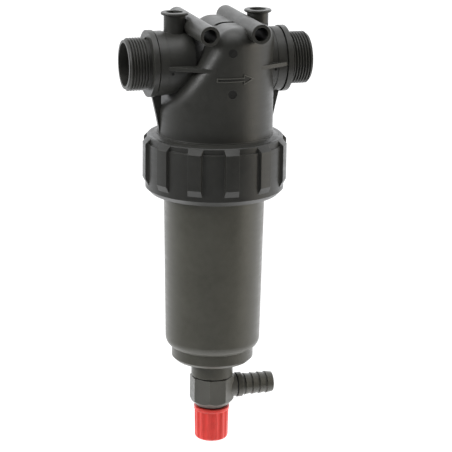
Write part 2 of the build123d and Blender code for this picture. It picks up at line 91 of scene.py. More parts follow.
# Threads: a flank gives where a ridge's side meets the root and the crest, in pitches.
FINE_FLANK = (0.06, 0.40)
COARSE_FLANK = (0.20, 0.375)
RIDGE_FOOT = 0.25 * MM
RIDGE_FOOT_SHARE = 0.05
NECK_LEDGE = 1.0 * MM
THREAD_GAP = 0.05 * MM

# Flow arrow: step between its bends, its head's length in widths, its field's relief as a share
# of the line's, and the tones of line and field: the line painted paler as a highlight, the field
# painted darker as shadow.
ARROW_STEP = 4.0 * MM
ARROW_BARB = 1.1
FIELD_RELIEF = 0.2
ARROW_LINE_HIGHLIGHT = 2.2
ARROW_FIELD_SHADOW = 0.35

# Moulded finish: how fast an edge turns pale, the tone of paler edges (partly wear, partly painted
# highlight), and the tone of round marks painted darker as the shade in their recesses.
RIM_GAIN = 7.0
WEAR_AND_HIGHLIGHT_SHADE = 3.2
MARK_PAINTED_SHADE = 0.3
SPOT_EDGE = 0.4 * MM

# Stage
WHITE = (1.0, 1.0, 1.0, 1.0)
ROOM_TINT = (0.97, 0.98, 1.0, 1.0)
ROOM_DARK_TO = 0.28
ROOM_SEEN_LEVEL = 1.2
LIGHT_REACH = 1.1
CAMERA_RANGE = 50.0
# Each soft box: power setting, bearing left of the camera and rise in degrees, width and height.
SOFT_BOXES = {
    "left light": ("left_power", 67.0, 28.0, (0.4, 0.4)),
    "side light": ("side_power", -80.0, 8.0, (0.5, 0.9)),
    "top light": ("top_power", 20.0, 80.0, (1.1, 0.8)),
}


# Settings


def length(name, description, millimetres):
    """A size that the sidebar shows as a length."""
    return bpy.props.FloatProperty(
        name=name, description=description, default=millimetres * MM, min=0.0, precision=5,
        unit="LENGTH", subtype="DISTANCE",
    )


def colour(name, description, red, green, blue):
    """A colour that the sidebar shows as a swatch."""
    return bpy.props.FloatVectorProperty(
        name=name, description=description, default=(red, green, blue, 1.0), size=4, min=0.0,
        max=1.0, subtype="COLOR",
    )


def number(name, description, default):
    """A plain number from nought up."""
    return bpy.props.FloatProperty(name=name, description=description, default=default, min=0.0)


def angle(name, description, degrees):
    """An angle that the sidebar shows in degrees."""
    return bpy.props.FloatProperty(
        name=name, description=description, default=math.radians(degrees), subtype="ANGLE",
        unit="ROTATION",
    )


class FilterSizes(bpy.types.PropertyGroup):
    """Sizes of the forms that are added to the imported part."""

    port_pitch: length("Port thread pitch", "Axial pitch of the pipe threads on the ports", 2.309)
    port_root: length("Port thread root", "Root radius of the port threads", 19.48)
    neck_pitch: length("Nut thread pitch", "Travel of the ring nut in one turn", 6.0)
    neck_crest: length("Neck thread crest", "Crest radius of the thread under the head", 51.2)
    neck_root: length("Neck thread root", "Root radius of the thread under the head", 49.3)
    neck_start: length("Neck thread start", "Depth of the thread below the nut's top face", 3.5)
    thread_play: length("Thread play", "Gap between the ridges of nut and neck", 0.2)
    gauge_pitch: length("Gauge thread pitch", "Axial pitch of the gauge threads", 1.337)
    gauge_depth: length("Gauge thread depth", "Depth of the gauge threads", 0.86)
    head_radius: length("Head radius", "Radius of the head's round wall", 46.4)
    pipe_radius: length("Pipe radius", "Radius of the head's two pipes", 25.2)
    dimple_radius: length("Dimple", "Radius of the two round marks on the front", 3.7)
    dimple_rise: length("Upper dimple", "Height of the upper mark above the port axis", 14.0)
    dimple_drop: length("Lower dimple", "Depth of the lower mark below the port axis", 18.3)
    pin_radius: length("Pin mark", "Radius of the small mark on each pipe", 1.3)
    pin_reach: length("Pin mark reach", "Distance of a pin mark from the bowl axis", 42.0)
    pin_drop: length("Pin mark drop", "Depth of a pin mark below the port axis", 4.0)
    arrow_tail: length("Arrow tail", "Distance of the arrow's tail left of the middle", 12.5)
    arrow_point: length("Arrow point", "Distance of the arrow's point right of the middle", 18.3)
    arrow_drop: length("Arrow drop", "Height of the port axis above the arrow", 6.9)
    arrow_shaft: length("Arrow shaft", "Width of the arrow's shaft", 3.3)
    arrow_head: length("Arrow head", "Width of the arrow's head", 8.2)
    arrow_line: length("Arrow line", "Width of the raised line round the arrow", 0.75)
    arrow_relief: length("Arrow relief", "How far the arrow's line stands out", 0.6)
    edge_round: length("Edge rounding", "Rounding seen on the moulded edges", 0.35)
    weave_pitch: length("Weave pitch", "Spacing of the screen's wires", 0.9)
    drive_radius: length("Screw socket", "Corner radius of the screws' six-sided sockets", 1.5)
    screw_pitch: length("Screw pitch", "Axial pitch of the small screws", 0.6)
    washer_screw_head: length("Washer screw head", "Height of the washer screw's head", 1.5)
    knob_screw_head: length("Knob screw head", "Height of the knob screw's head", 2.0)


class FilterColours(bpy.types.PropertyGroup):
    """Base colours of the finishes."""

    head: colour("Head", "Satin black moulding of the head", 0.029, 0.029, 0.025)
    nut: colour("Ring nut", "Satin black moulding of the ring nut", 0.025, 0.025, 0.022)
    bowl: colour("Bowl", "Dark olive grey moulding of the bowl", 0.078, 0.076, 0.061)
    valve: colour("Valve body", "Dark grey moulding of the valve body", 0.110, 0.108, 0.095)
    barb: colour("Hose tail", "Near black moulding of the hose tail", 0.080, 0.078, 0.064)
    gland: colour("Gland", "Black moulding of gland, disc and stem", 0.012, 0.012, 0.012)
    cartridge: colour("Cartridge", "Dark grey moulding of cage and caps", 0.055, 0.055, 0.056)
    slip: colour("Slip ring", "Natural white slip ring", 0.70, 0.67, 0.59)
    rubber: colour("Rubber", "Black rubber of the seals", 0.016, 0.016, 0.017)
    knob: colour("Drain knob", "Red moulding of the drain knob", 0.95, 0.062, 0.048)
    wire: colour("Screen wire", "Stainless wire of the screen", 0.58, 0.57, 0.54)
    steel: colour("Screws", "Stainless steel of the screws", 0.62, 0.61, 0.60)
    floor: colour("Floor", "Pale floor under the filter", 0.92, 0.92, 0.92)


class StageSettings(bpy.types.PropertyGroup):
    """Camera and light."""

    lens: number("Lens", "Focal length in millimetres", 154.65)
    sensor: number("Sensor", "Width of the sensor in millimetres", 36.0)
    azimuth: angle("Azimuth", "How far left of straight in front the camera stands", 16.80)
    elevation: angle("Elevation", "How far the camera looks down", 15.76)
    yaw: angle("Yaw", "How far the camera looks right of its target", 0.3615)
    roll: angle("Roll", "How far the camera is turned about its view", 0.71)
    distance: length("Distance", "Distance from camera to target", 1584.46)
    target_drop: length("Target drop", "Height of the port axis above the camera's target", 136.86)
    floor_gap: length("Floor gap", "Height of the hanging filter above the floor", 1200.0)
    floor_radius: length("Floor radius", "Radius of the round floor", 2000.0)
    floor_glow: number("Floor glow", "How strongly the floor shines by itself", 0.85)
    front_level: number("Front level", "Brightness of the room on the camera's side", 0.17)
    back_level: number("Back level", "Brightness of the room behind the filter", 2.0)
    back_turn: angle("Back turn", "How far right of the camera's view the room is brightest", 8.0)
    left_power: number("Left light", "Power of the small soft box on the left in watts", 5.0)
    side_power: number("Side light", "Power of the warm soft box on the right in watts", 3.0)
    side_tint: colour("Side tint", "Colour of the soft box on the right", 1.0, 0.90, 0.72)
    top_power: number("Top light", "Power of the overhead soft box in watts", 6.0)


# Shader expressions


class Value:
    """A node's socket. Arithmetic on it adds Math nodes to the same tree."""

    def __init__(self, nodes, socket):
        self.nodes = nodes
        self.socket = socket

    def __add__(self, other):
        return self.nodes.math("ADD", self, other)

    def __radd__(self, other):
        return self.nodes.math("ADD", other, self)

    def __sub__(self, other):
        return self.nodes.math("SUBTRACT", self, other)

    def __rsub__(self, other):
        return self.nodes.math("SUBTRACT", other, self)

    def __mul__(self, other):
        return self.nodes.math("MULTIPLY", self, other)

    def __rmul__(self, other):
        return self.nodes.math("MULTIPLY", other, self)

    def __truediv__(self, other):
        return self.nodes.math("DIVIDE", self, other)

    def __pow__(self, other):
        return self.nodes.math("POWER", self, other)


class Nodes:
    """The node tree of a finish or of the room."""

    def __init__(self, tree):
        self.tree = tree

    def node(self, kind, settings=None, inputs=None, output=0):
        """Add a node, set it up, feed its sockets, and give one of its outputs."""
        made = self.tree.nodes.new(kind)
        for name, value in (settings or {}).items():
            if name == "stops":
                self._set_stops(made.color_ramp, value)
            else:
                setattr(made, name, value)
        for name, value in (inputs or {}).items():
            self.feed(made.inputs[name], value)
        return Value(self, made.outputs[output])

    def _set_stops(self, ramp, stops):
        while len(ramp.elements) < len(stops):
            ramp.elements.new(1.0)
        for element, (position, shade) in zip(ramp.elements, stops):
            element.position = position
            element.color = (shade, shade, shade, 1.0)

    def feed(self, socket, value):
        """Link a value to a socket, or set a plain number, vector or colour on it."""
        if isinstance(value, Value):
            self.tree.links.new(value.socket, socket)
        else:
            socket.default_value = value

    def math(self, operation, *values):
        """Add one Math node."""
        return self.node("ShaderNodeMath", {"operation": operation}, dict(enumerate(values)))

    def vector(self, operation, *values, output=0):
        """Add one Vector Math node."""
        return self.node(
            "ShaderNodeVectorMath", {"operation": operation}, dict(enumerate(values)), output
        )

    def ramp(self, value, *stops):
        """Remap a value through grey stops of position and level."""
        return self.node("ShaderNodeValToRGB", {"stops": stops}, {"Fac": value})


class Finish(Nodes):
    """One material: a principled shader and the nodes that feed it."""

    def __init__(self, name, roughness, metallic=0.0, specular=0.5):
        self.material = bpy.data.materials.new(name)
        self.material.use_nodes = True
        super().__init__(self.material.node_tree)
        self.shader = self.tree.nodes["Principled BSDF"]
        self.shader.inputs["Roughness"].default_value = roughness
        self.shader.inputs["Metallic"].default_value = metallic
        self.shader.inputs["Specular IOR Level"].default_value = specular
        self.place = self.node("ShaderNodeTexCoord", output="Object")

    def mix(self, factor, first, second):
        """Mix two colours. The Mix node's colour sockets are its seventh and eighth."""
        return self.node(
            "ShaderNodeMix", {"data_type": "RGBA"}, {0: factor, 6: first, 7: second}, output=2
        )

    def noise(self, scale, detail=3.0, stretch=None):
        """Noise at a number of cells per metre, stretched if asked."""
        place = self.place
        if stretch:
            place = self.node("ShaderNodeMapping", None, {"Vector": place, "Scale": stretch})
        return self.node(
            "ShaderNodeTexNoise", None, {"Vector": place, "Scale": scale, "Detail": detail}
        )

    def limit(self, value):
        """Hold a value between nought and one."""
        return self.node("ShaderNodeClamp", None, {"Value": value})

    def out(self, **links):
        """Feed the shader's own sockets, with underscores for the spaces in their names."""
        for name, value in links.items():
            self.feed(self.shader.inputs[name.replace("_", " ")], value)
        return self.material


def shade(rgba, factor):
    """A colour made lighter or darker."""
    return (*(min(1.0, channel * factor) for channel in rgba[:3]), 1.0)


def soft_edges(finish, radius):
    """Normal with rounded edges, and a mask that is one along them."""
    rounded = finish.node(
        "ShaderNodeBevel", {"samples": 6}, {"Radius": radius}, output="Normal"
    )
    flat = finish.node("ShaderNodeNewGeometry", output="Normal")
    likeness = finish.vector("DOT_PRODUCT", rounded, flat, output="Value")
    return rounded, finish.limit((1.0 - likeness) * RIM_GAIN)


def moulded(name, rgba, roughness, edge=None, grain=0.05, wear=0.5, marks=()):
    """Moulded plastic: cloudy colour, fine grain, faint flow marks, and edges painted paler, partly
    as wear and partly as a painted highlight.

    Each mark is the place and the radius of a spot painted darker as the shade in its recess.
    """
    sizes = bpy.context.scene.filter_sizes
    finish = Finish(name, roughness)
    cloud = finish.noise(38.0, 4.0)
    patches = finish.noise(190.0, 2.0)
    speckle = finish.noise(1500.0, 2.0)
    flow = finish.noise(55.0, 3.0, stretch=(1.0, 1.0, 7.0))
    rounded, rim = soft_edges(finish, sizes.edge_round if edge is None else edge)

    tone = finish.ramp(cloud * 0.4 + patches * 0.3 + speckle * 0.3, (0.36, 0.0), (0.64, 1.0))
    body = finish.mix(tone, shade(rgba, 0.88), shade(rgba, 1.12))
    # Edges are painted paler: partly wear, partly a painted highlight along the rounded edges.
    body = finish.mix(rim * wear, body, shade(rgba, WEAR_AND_HIGHLIGHT_SHADE))
    # Round marks are painted darker: painted shade in their recesses.
    for place, radius in marks:
        away = finish.vector("DISTANCE", finish.place, place, output="Value")
        painted_mark_shade = finish.limit((radius - away) / SPOT_EDGE)
        body = finish.mix(painted_mark_shade, body, shade(rgba, MARK_PAINTED_SHADE))
    rub = finish.ramp(flow, (0.42, 0.0), (0.7, 1.0))
    height = speckle * 0.6 + finish.noise(5200.0, 1.0) * 0.4
    bump = finish.node(
        "ShaderNodeBump", None,
        {"Strength": 0.55, "Distance": grain * MM, "Height": height, "Normal": rounded},
    )
    return finish.out(
        Base_Color=body, Roughness=roughness + 0.09 * (tone - 0.5) - 0.07 * rub, Normal=bump
    )


def rubber(name, rgba):
    """Dull moulded rubber with a dusty bloom."""
    finish = Finish(name, roughness=0.72, specular=0.35)
    bloom = finish.ramp(finish.noise(240.0, 5.0), (0.4, 0.0), (0.7, 1.0))
    grain = finish.noise(3000.0, 2.0)
    bump = finish.node("ShaderNodeBump", None, {"Distance": 0.04 * MM, "Height": grain})
    return finish.out(
        Base_Color=finish.mix(bloom, rgba, shade(rgba, 2.6)), Roughness=0.62 + 0.2 * bloom,
        Normal=bump,
    )


def turned_steel(name, rgba):
    """Stainless steel with fine turning lines and a few dull spots."""
    finish = Finish(name, roughness=0.3, metallic=1.0)
    lines = finish.noise(400.0, 3.0, stretch=(1.0, 1.0, 12.0))
    spots = finish.ramp(finish.noise(500.0, 4.0), (0.45, 0.0), (0.68, 1.0))
    bump = finish.node("ShaderNodeBump", None, {"Distance": 0.02 * MM, "Height": lines})
    return finish.out(
        Base_Color=finish.mix(spots, rgba, shade(rgba, 0.62)),
        Roughness=0.24 + 0.2 * spots + 0.08 * lines, Normal=bump,
    )


def woven_wire(name, rgba, pitch):
    """Plain woven wire cloth round the bowl axis, open between the wires."""
    finish = Finish(name, roughness=0.34, metallic=1.0)
    centred = finish.node("ShaderNodeMapping", None, {
        "Vector": finish.place, "Location": (0.0, -AXIS_Y, 0.0)})
    parts = finish.node("ShaderNodeSeparateXYZ", None, {"Vector": centred}, output="X")
    split = parts.socket.node
    across, along, up = (Value(finish, split.outputs[axis]) for axis in "XYZ")
    wires_round = round(FULL_TURN * SCREEN_R / pitch)
    turn = finish.math("ARCTAN2", along, across) * (wires_round / 2)
    rise = up * (math.pi / pitch)
    warp = finish.math("ABSOLUTE", finish.math("SINE", turn))
    weft = finish.math("ABSOLUTE", finish.math("SINE", rise))
    cross = finish.math("SINE", turn) * finish.math("SINE", rise)
    wire = finish.math("MAXIMUM", warp, weft)
    solid = finish.ramp(wire, (0.62, 0.0), (0.7, 1.0))
    height = wire + 0.35 * cross
    bump = finish.node("ShaderNodeBump", None, {"Distance": 0.15 * MM, "Height": height})
    tone = finish.noise(160.0, 3.0)
    body = finish.mix(tone, shade(rgba, 0.75), shade(rgba, 1.15))
    # The colour is painted dark at the wires' sides and in the openings: painted shade between
    # wires.
    return finish.out(
        Base_Color=finish.mix(wire ** 3.0, shade(rgba, 0.25), body),
        Roughness=0.26 + 0.25 * tone, Alpha=0.15 + 0.85 * solid, Normal=bump,
    )


# Shapes


def finished(shape, name, body, material, replaced=(), sharp=SMOOTH_TO):
    """Turn a bmesh into an object that rides on a body. Edges sharper than the angle show."""
    bmesh.ops.recalc_face_normals(shape, faces=shape.faces)
    mesh = bpy.data.meshes.new(name)
    shape.to_mesh(mesh)
    shape.free()
    mesh.shade_smooth()
    mesh.set_sharp_from_angle(angle=math.radians(sharp))
    restore_normals(mesh)
    piece = bpy.data.objects.new(name, mesh)
    bpy.context.scene.collection.objects.link(piece)
    piece.data.materials.append(material)
    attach(piece, body)
    if replaced:
        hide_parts(*replaced)
    return piece


def merged_copy(node):
    """A bmesh copy of a CAD node with its loose triangles joined, which remembers its normals."""
    source = frame["nodes"][node].data
    shape = bmesh.new()
    shape.from_mesh(source)
    memory = shape.loops.layers.float_vector.new(NORMAL_MEMORY)
    for face, triangle in zip(shape.faces, source.polygons):
        for loop, corner in zip(face.loops, triangle.loop_indices):
            loop[memory] = source.corner_normals[corner].vector
    bmesh.ops.remove_doubles(shape, verts=shape.verts, dist=WELD)
    return shape


def restore_normals(mesh):
    """Shade a copy of a CAD node with the normals it remembers, where its faces still suit them."""
    memory = mesh.attributes.get(NORMAL_MEMORY)
    if memory is None:
        return
    normals = [item.vector.copy() for item in memory.data]
    for face in mesh.polygons:
        for corner in face.loop_indices:
            if normals[corner].dot(face.normal) < LEAST_LIKENESS * normals[corner].length:
                normals[corner] = face.normal.copy()
    mesh.attributes.remove(memory)
    mesh.normals_split_custom_set([normal.normalized() for normal in normals])


def paint(node, material):
    """Give a CAD node its finish."""
    slots = frame["nodes"][node].data.materials
    slots.clear()
    slots.append(material)


def helix(shape, profile, pitch, turns, steps):
    """Sweep a closed profile of radius and height round Z on a right-handed helix."""
    corners = [shape.verts.new((radius, 0.0, height)) for radius, height in profile]
    start = shape.faces.new(corners)
    swept = bmesh.ops.spin(
        shape, geom=[*corners, *start.edges], cent=(0, 0, 0), axis=(0, 0, 1),
        dvec=(0, 0, pitch / steps), angle=FULL_TURN * turns, steps=round(steps * turns),
        use_duplicate=False,
    )
    last = [item for item in swept["geom_last"] if isinstance(item, bmesh.types.BMEdge)]
    bmesh.ops.contextual_create(shape, geom=last)


def thread(shape, pitch, turns, root, crest, start, flank=FINE_FLANK, steps=48):
    """A right-handed ridge round Z from a height up. An inward crest makes an inner thread."""
    foot = root - math.copysign(RIDGE_FOOT, crest - root)
    low, high = flank
    shares = [
        (foot, low - RIDGE_FOOT_SHARE), (root, low), (crest, high), (crest, 1.0 - high),
        (root, 1.0 - low), (foot, 1.0 + RIDGE_FOOT_SHARE - low),
    ]
    profile = [(radius, start + share * pitch) for radius, share in shares]
    helix(shape, profile, pitch, turns, steps)


def moved(shape, matrix):
    """Place everything in a bmesh."""
    bmesh.ops.transform(shape, matrix=matrix, verts=shape.verts)


def axis_radius(point):
    """Distance of a point from the bowl axis."""
    return math.hypot(point.x, point.y - AXIS_Y)


def drawn(shape, edges, height, radius=None):
    """Extrude a ring of edges round Z to a height, and to a radius if one is given."""
    made = bmesh.ops.extrude_edge_only(shape, edges=edges)["geom"]
    ring = [item for item in made if isinstance(item, bmesh.types.BMEdge) and item.is_boundary]
    for vert in {vert for edge in ring for vert in edge.verts}:
        spread = radius / math.hypot(vert.co.x, vert.co.y) if radius else 1.0
        vert.co = (vert.co.x * spread, vert.co.y * spread, height)
    return ring


def cut_through(shape, place, across):
    """Cut a bmesh through on a plane and keep both sides."""
    bmesh.ops.bisect_plane(
        shape, geom=[*shape.verts, *shape.edges, *shape.faces], dist=WELD, plane_co=place,
        plane_no=across,
    )


def socket_screw(sizes, head, head_height, shank, reach):
    """A small screw, its head standing on the origin with a six-sided socket, its shank below."""
    shape = bmesh.new()
    bmesh.ops.create_circle(shape, cap_ends=True, segments=24, radius=sizes.drive_radius)
    half_side = HEXAGON_SIDE / 2
    flat = sizes.drive_radius * math.cos(half_side)
    for vert in shape.verts:
        turn = math.atan2(vert.co.y, vert.co.x) % HEXAGON_SIDE - half_side
        vert.co *= flat / math.cos(turn) / sizes.drive_radius
        vert.co.z = 0.3 * head_height
    root = shank - 0.55 * sizes.screw_pitch
    corner = 0.15 * head_height
    tip = 0.6 * root
    ring = drawn(shape, shape.edges[:], head_height)
    for radius, height in (
        (head - corner, head_height), (head, head_height - corner), (head, 0.0), (root, 0.0),
        (root, root - reach), (tip, -reach),
    ):
        ring = drawn(shape, ring, height, radius)
    bmesh.ops.contextual_create(shape, geom=ring)
    turns = (reach - root) / sizes.screw_pitch - 1.5
    thread(shape, sizes.screw_pitch, turns, root, shank, root - reach, steps=24)
    return shape


def hold_radius(shape, limit):
    """Pull every point in to a greatest radius, which a function gives for its height."""
    for vert in shape.verts:
        radius = math.hypot(vert.co.x, vert.co.y)
        greatest = limit(vert.co.z)
        if radius > greatest:
            vert.co.x *= greatest / radius
            vert.co.y *= greatest / radius


# Pieces


class FILTER_OT_head(bpy.types.Operator):
    """Dress the head with the threads of its ports, its gauge bosses and the neck for the nut"""

    bl_idname = "filter.head"
    bl_label = "Head and its threads"

    def execute(self, context):
        sizes = context.scene.filter_sizes
        # The head's finish paints its round marks darker, as the shade in their recesses.
        black = moulded(
            "head satin black", context.scene.filter_colours.head, 0.46, marks=self.marks(sizes)
        )
        bottom = self.shell(sizes, black)
        for side, name in ((-1, "inlet_port_thread"), (1, "outlet_port_thread")):
            self.port_thread(sizes, black, side, name)
        for name in ("inlet_gauge", "outlet_gauge"):
            self.gauge_thread(sizes, black, name)
        self.neck_thread(sizes, black, bottom)
        return {"FINISHED"}

    def marks(self, sizes):
        """Places and radii of the round marks that the mould left, painted darker as the shade in
        their recesses.
        """
        front = AXIS_Y - sizes.head_radius
        pipe_front = AXIS_Y - math.sqrt(sizes.pipe_radius ** 2 - sizes.pin_drop ** 2)
        for height in (sizes.dimple_rise, -sizes.dimple_drop):
            yield (0.0, front, PORT_Z + height), sizes.dimple_radius
        for side in (-1, 1):
            yield (side * sizes.pin_reach, pipe_front, PORT_Z - sizes.pin_drop), sizes.pin_radius

    def shell(self, sizes, black):
        """The head, its thread cylinders drawn in to their roots. Gives the neck's lower end."""
        shape = merged_copy("head")
        seen = PORT_THREAD_START - 0.1 * SLACK
        for vert in shape.verts:
            height = vert.co.z - PORT_Z
            depth = vert.co.y - AXIS_Y
            radius = math.hypot(height, depth)
            if abs(vert.co.x) > seen and sizes.port_root < radius < PORT_THREAD_R + SLACK:
                vert.co.z = PORT_Z + height * sizes.port_root / radius
                vert.co.y = AXIS_Y + depth * sizes.port_root / radius

        top = NUT_TOP - sizes.neck_start
        for height in (top + NECK_LEDGE, top):
            cut_through(shape, (0.0, 0.0, height), (0.0, 0.0, 1.0))
        neck = [
            vert for vert in shape.verts
            if vert.co.z < top + SLACK and axis_radius(vert.co) > sizes.neck_crest - SLACK
        ]
        for vert in neck:
            inward = sizes.neck_root / axis_radius(vert.co)
            vert.co.x *= inward
            vert.co.y = AXIS_Y + (vert.co.y - AXIS_Y) * inward
        bottom = min(vert.co.z for vert in neck)
        finished(
            shape, "head_shell", "head", black, ["head"], sharp=HEAD_SMOOTH_TO
        )
        return bottom

    def port_thread(self, sizes, black, side, name):
        """Pipe thread with its crest cut away by the chamfer at the port's mouth."""
        shape = bmesh.new()
        turns = (PORT_END - PORT_THREAD_START) / sizes.port_pitch - 1.0
        thread(shape, sizes.port_pitch, turns, sizes.port_root, PORT_THREAD_R, 0.0, steps=64)
        mouth = PORT_CHAMFER_START - PORT_THREAD_START
        hold_radius(shape, lambda height: PORT_THREAD_R - max(0.0, height - mouth))
        turn = Matrix.Rotation(math.radians(90 * side), 4, "Y")
        moved(shape, Matrix.Translation((side * PORT_THREAD_START, AXIS_Y, PORT_Z)) @ turn)
        finished(shape, name, "head", black)

    def gauge_thread(self, sizes, black, name):
        """Inner thread of one gauge port."""
        place = MOUNTS[name + "_port"]["pos_m"]
        shape = bmesh.new()
        turns = GAUGE_LENGTH / sizes.gauge_pitch - 2.0
        thread(
            shape, sizes.gauge_pitch, turns, GAUGE_R, GAUGE_R - sizes.gauge_depth,
            GAUGE_TOP - GAUGE_LENGTH + 0.4 * sizes.gauge_pitch,
        )
        moved(shape, Matrix.Translation((place[0], AXIS_Y, 0.0)))
        finished(shape, name + "_thread", "head", black)

    def neck_thread(self, sizes, black, bottom):
        """Coarse thread round the neck, which the ring nut runs on."""
        shape = bmesh.new()
        turns = (NUT_TOP - sizes.neck_start - bottom) / sizes.neck_pitch - 1.0
        thread(
            shape, sizes.neck_pitch, turns, sizes.neck_root, sizes.neck_crest, bottom,
            flank=COARSE_FLANK, steps=96,
        )
        moved(shape, Matrix.Translation((0.0, AXIS_Y, 0.0)))
        finished(shape, "neck_thread", "head", black)


class FILTER_OT_marks(bpy.types.Operator):
    """Raise the outline of the flow arrow on the front of the head"""

    bl_idname = "filter.marks"
    bl_label = "Flow arrow"

    def execute(self, context):
        sizes = context.scene.filter_sizes
        black = context.scene.filter_colours.head
        # The raised line is painted paler as a highlight, and the field inside it darker as shadow.
        line_highlight = moulded("arrow line rubbed", shade(black, ARROW_LINE_HIGHLIGHT), 0.45)
        field = moulded("arrow field black", shade(black, ARROW_FIELD_SHADOW), 0.6, wear=0.0)
        shape, face = self.outline(sizes)
        bmesh.ops.delete(shape, geom=[face], context="FACES")
        self.raised(sizes, shape, sizes.arrow_relief)
        finished(shape, "flow_arrow", "head", line_highlight)
        shape, face = self.outline(sizes)
        rim = [item for item in shape.faces if item is not face]
        bmesh.ops.delete(shape, geom=rim, context="FACES")
        self.raised(sizes, shape, FIELD_RELIEF * sizes.arrow_relief)
        finished(shape, "flow_arrow_field", "head", field)
        return {"FINISHED"}

    def outline(self, sizes):
        """The arrow as a line round a field, lying flat. Gives its bmesh and the field."""
        neck = sizes.arrow_point - sizes.arrow_head * ARROW_BARB
        half, wide = sizes.arrow_shaft / 2, sizes.arrow_head / 2
        outline = [
            (-sizes.arrow_tail, -half), (neck, -half), (neck, -wide), (sizes.arrow_point, 0.0),
            (neck, wide), (neck, half), (-sizes.arrow_tail, half),
        ]
        shape = bmesh.new()
        face = shape.faces.new([shape.verts.new((x, 0.0, z)) for x, z in outline])
        shape.normal_update()
        bmesh.ops.inset_region(
            shape, faces=[face], thickness=sizes.arrow_line, use_boundary=True,
            use_even_offset=True,
        )
        return shape, face

    def raised(self, sizes, shape, relief):
        """Bend a flat shape round the head's wall, and thicken it to stand out from the wall."""
        bmesh.ops.triangulate(shape, faces=shape.faces)
        first = math.ceil(-sizes.arrow_tail / ARROW_STEP)
        last = math.floor(sizes.arrow_point / ARROW_STEP)
        for step in range(first, last + 1):
            cut_through(shape, (step * ARROW_STEP, 0.0, 0.0), (1.0, 0.0, 0.0))
        wall = bmesh.ops.extrude_face_region(shape, geom=shape.faces)
        front = [item for item in wall["geom"] if isinstance(item, bmesh.types.BMVert)]
        raised = {vert: sizes.head_radius + relief for vert in front}
        for vert in shape.verts:
            radius = raised.get(vert, sizes.head_radius - sizes.arrow_relief)
            vert.co.y = AXIS_Y - math.sqrt(radius ** 2 - vert.co.x ** 2)
            vert.co.z += PORT_Z - sizes.arrow_drop


class FILTER_OT_ring_nut(bpy.types.Operator):
    """Finish the ring nut, its inner thread and the slip ring inside it"""

    bl_idname = "filter.ring_nut"
    bl_label = "Ring nut"

    def execute(self, context):
        colours = context.scene.filter_colours
        black = moulded("nut satin black", colours.nut, 0.44, wear=0.8)
        paint("ring_nut", black)
        paint("slip_ring", moulded("slip ring natural", colours.slip, 0.38, wear=0.1))
        self.inner_thread(context.scene.filter_sizes, black)
        return {"FINISHED"}

    def inner_thread(self, sizes, black):
        """Ridge inside the nut, half a pitch away from the neck's."""
        neck = bpy.data.objects["neck_thread"]
        bottom = min(vert.co.z for vert in neck.data.vertices)
        start = bottom + (0.5 - COARSE_FLANK[0] + RIDGE_FOOT_SHARE) * sizes.neck_pitch
        turns = (NUT_TOP - sizes.neck_start - start) / sizes.neck_pitch - 1.0
        shape = bmesh.new()
        thread(
            shape, sizes.neck_pitch, turns, sizes.neck_crest + THREAD_GAP,
            sizes.neck_root + sizes.thread_play, start, flank=COARSE_FLANK, steps=96,
        )
        moved(shape, Matrix.Translation((0.0, AXIS_Y, 0.0)))
        finished(shape, "nut_thread", "ring_nut", black)


class FILTER_OT_bowl(bpy.types.Operator):
    """Finish the bowl"""

    bl_idname = "filter.bowl"
    bl_label = "Bowl"

    def execute(self, context):
        paint("bowl", moulded("bowl olive grey", context.scene.filter_colours.bowl, 0.42))
        return {"FINISHED"}


class FILTER_OT_cartridge(bpy.types.Operator):
    """Finish the cartridge: cage, caps and woven screen"""

    bl_idname = "filter.cartridge"
    bl_label = "Screen cartridge"

    def execute(self, context):
        colours = context.scene.filter_colours
        grey = moulded("cartridge dark grey", colours.cartridge, 0.5)
        for node in ("top_cap", "screen_cage", "bottom_cap"):
            paint(node, grey)
        pitch = context.scene.filter_sizes.weave_pitch
        paint("filter_screen", woven_wire("woven stainless wire", colours.wire, pitch))
        return {"FINISHED"}


class FILTER_OT_drain_valve(bpy.types.Operator):
    """Finish the drain valve: body, hose tail, gland, stem and disc"""

    bl_idname = "filter.drain_valve"
    bl_label = "Drain valve"

    def execute(self, context):
        colours = context.scene.filter_colours
        paint("drain_tee", moulded("valve body grey", colours.valve, 0.42, wear=0.9))
        paint("hose_barb", moulded("hose tail black", colours.barb, 0.4))
        gland = moulded("gland black", colours.gland, 0.45)
        for node in ("gland_nut", "valve_disc", "valve_stem"):
            paint(node, gland)
        red = moulded("knob red", colours.knob, 0.42, edge=1.2 * MM, grain=0.02, wear=0.3)
        paint("drain_knob", red)
        return {"FINISHED"}


class FILTER_OT_seals(bpy.types.Operator):
    """Finish the rubber seals, gaskets and washers"""

    bl_idname = "filter.seals"
    bl_label = "Seals"

    def execute(self, context):
        black = rubber("seal rubber", context.scene.filter_colours.rubber)
        for part in frame["record"]["subparts"]:
            if part["material_slot"] == "seal_rubber":
                paint(part["node"], black)
        return {"FINISHED"}


class FILTER_OT_screws(bpy.types.Operator):
    """Build the two small screws with their sockets and threads"""

    bl_idname = "filter.screws"
    bl_label = "Screws"

    def execute(self, context):
        steel = turned_steel("screw stainless", context.scene.filter_colours.steel)
        sizes = context.scene.filter_sizes
        low, high = WASHER_SCREW
        seat = high.z - sizes.washer_screw_head
        washer = socket_screw(sizes, high.x, high.z - seat, 0.5 * high.x, seat - low.z)
        moved(washer, Matrix.Translation((0.0, AXIS_Y, seat)))
        finished(
            washer, "washer_socket_screw", "valve_disc", steel, ["washer_screw"]
        )
        low, high = KNOB_SCREW
        seat = low.z + sizes.knob_screw_head
        knob = socket_screw(sizes, high.x, seat - low.z, 0.5 * high.x, high.z - seat)
        upside_down = Matrix.Rotation(math.pi, 4, "X")
        moved(knob, Matrix.Translation((0.0, AXIS_Y, seat)) @ upside_down)
        finished(knob, "knob_socket_screw", "drain_knob", steel, ["knob_screw"])
        return {"FINISHED"}


# Stage


